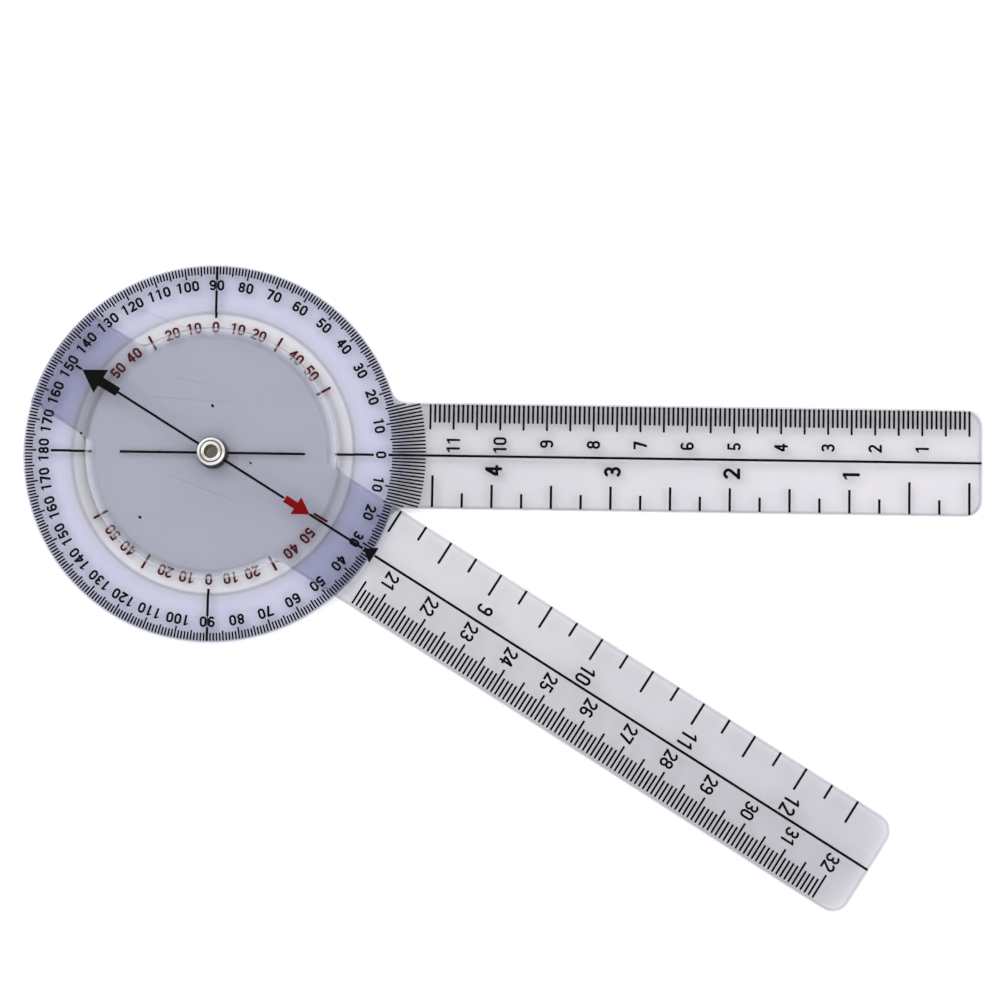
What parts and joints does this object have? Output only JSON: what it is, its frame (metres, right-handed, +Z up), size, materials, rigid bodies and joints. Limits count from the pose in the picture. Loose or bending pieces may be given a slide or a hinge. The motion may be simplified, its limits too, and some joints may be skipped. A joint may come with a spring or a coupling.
{
  "type": "goniometer",
  "caption": "Clear flat plastic joint-angle goniometer: a full-circle protractor head with a ruled fixed arm, and a ruled moving arm riveted over it on a hollow metal eyelet.",
  "frame": {"origin": "pivot axis at the underside of the fixed arm", "axes": "+X from the pivot along the fixed arm to its tip, +Y towards the 90 degree mark, +Z up out of the printed face"},
  "size_m": [0.2055, 0.1359, 0.004],
  "materials": {
    "clear_plastic": "clear, faintly lavender, moulded, fine handling scratches",
    "plated_metal": "nickel-plated brass, the bore worn to brass",
    "black_ink": "pad-printed ink film",
    "red_ink": "pad-printed ink film"
  },
  "bodies": {
    "fixed": {"fixed_arm": "clear_plastic", "pivot_eyelet": "plated_metal", "pivot_washer": "plated_metal", "print_degree_ticks": "black_ink", "print_degree_numbers": "black_ink", "print_complement_numbers": "red_ink", "print_complement_bars": "red_ink", "print_reference_lines": "black_ink", "print_fixed_centre_line": "black_ink", "print_fixed_cm_ticks": "black_ink", "print_fixed_cm_numbers": "black_ink", "print_fixed_inch_ticks": "black_ink", "print_fixed_inch_numbers": "black_ink"},
    "moving": {"moving_arm": "clear_plastic", "print_moving_centre_line": "black_ink", "print_moving_cm_ticks": "black_ink", "print_moving_cm_numbers": "black_ink", "print_moving_inch_ticks": "black_ink", "print_moving_inch_numbers": "black_ink", "print_tail_arrow": "black_ink", "print_red_arrow": "red_ink", "print_pointer": "black_ink"}
  },
  "joints": [
    {"name": "pivot", "type": "hinge", "parent": "fixed", "child": "moving", "pos_m": [0, 0, 0.0024], "axis": [0, 0, 1], "continuous": true}
  ]
}
